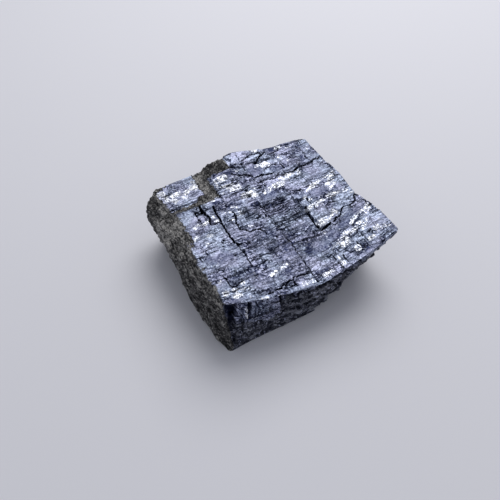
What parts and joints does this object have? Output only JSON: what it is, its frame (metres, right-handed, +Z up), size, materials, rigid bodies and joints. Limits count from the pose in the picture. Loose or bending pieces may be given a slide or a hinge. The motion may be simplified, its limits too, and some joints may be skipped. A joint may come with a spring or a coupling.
{
  "type": "galena specimen",
  "caption": "Square cleavage block of galena with a stepped top face, a crusted left side and an undercut front, resting on a flat foot.",
  "frame": {"origin": "middle of the footprint, on the surface the stone rests on", "axes": "+X along the longer cleavage direction, from the crusted side to the clean side; +Y from the broken front to the back; +Z up, through the thickness"},
  "size_m": [0.0516, 0.05, 0.0176],
  "materials": {
    "galena": "bluish lead-grey metallic cleavage faces with glittering ledges, and a dull grey-brown granular crust on the left side"
  },
  "bodies": {
    "root": {"galena": "galena"}
  },
  "joints": []
}
